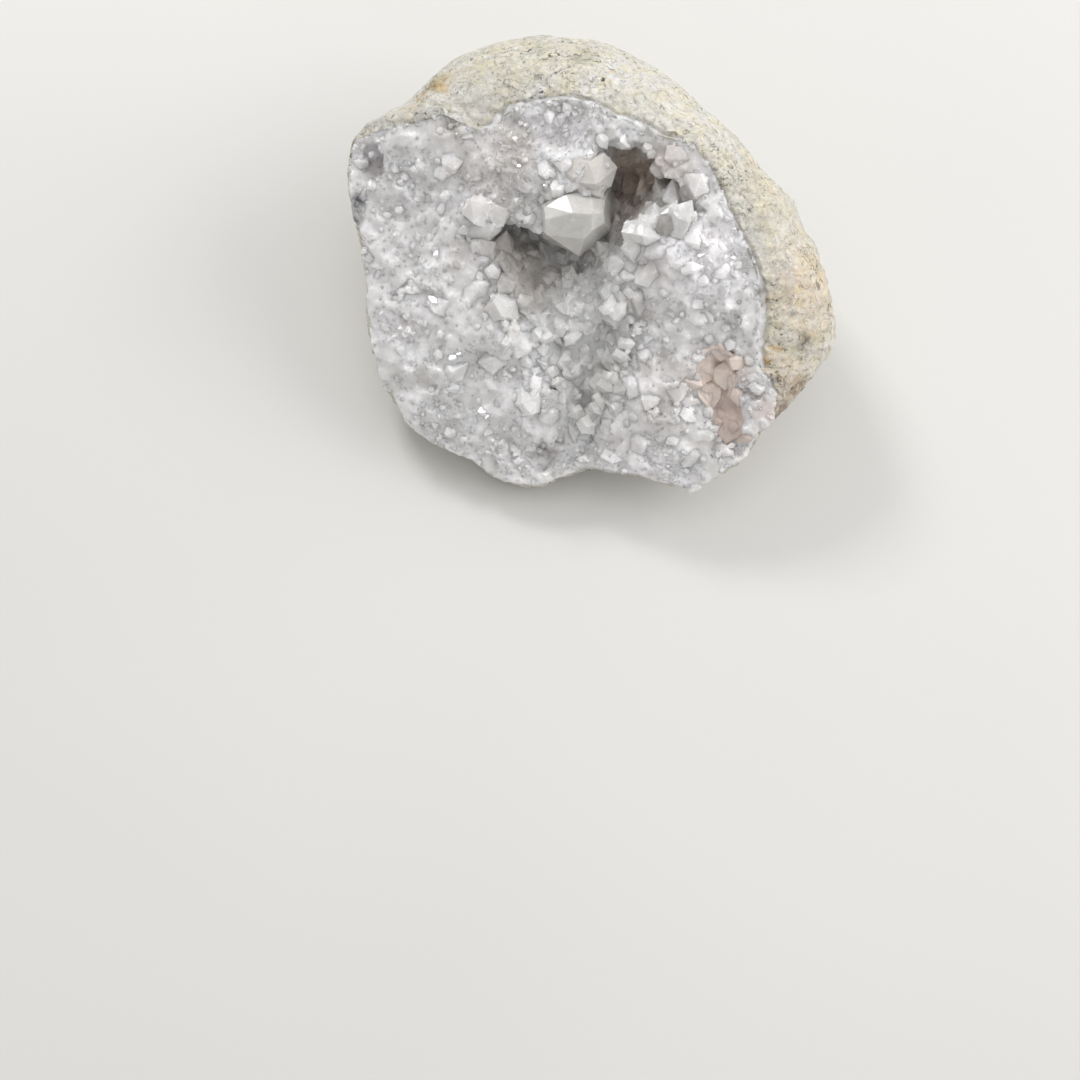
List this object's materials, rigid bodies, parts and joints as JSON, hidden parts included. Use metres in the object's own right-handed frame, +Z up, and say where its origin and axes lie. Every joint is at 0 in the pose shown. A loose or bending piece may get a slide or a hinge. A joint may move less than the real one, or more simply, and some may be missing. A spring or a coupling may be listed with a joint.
{
  "type": "quartz geode with calcite",
  "caption": "Broken half of a quartz geode: cream rind, granular milky quartz face, crystal-lined hollow, a large calcite crystal at the roof and a peach side pocket.",
  "frame": {"origin": "below the middle of the bounding box, at the level of the flat spot that the stone rests on", "axes": "+Z up; +X to the right and +Y to the back as the broken face is seen from in front and above"},
  "size_m": [0.0996, 0.0936, 0.057],
  "materials": {
    "cream_rind": "dull, fine-pitted stone rind",
    "milky_quartz": "sugary, granular milky quartz with glinting grains",
    "clear_quartz": "clear to greyish quartz points",
    "calcite": "translucent, glassy crystal",
    "peach_chalcedony": "smooth, waxy lumps"
  },
  "bodies": {
    "root": {"rind": "cream_rind", "quartz_wall": "milky_quartz", "crystal_crust": "clear_quartz", "calcite_crystal": "calcite", "chalcedony_lumps": "peach_chalcedony"}
  },
  "joints": []
}
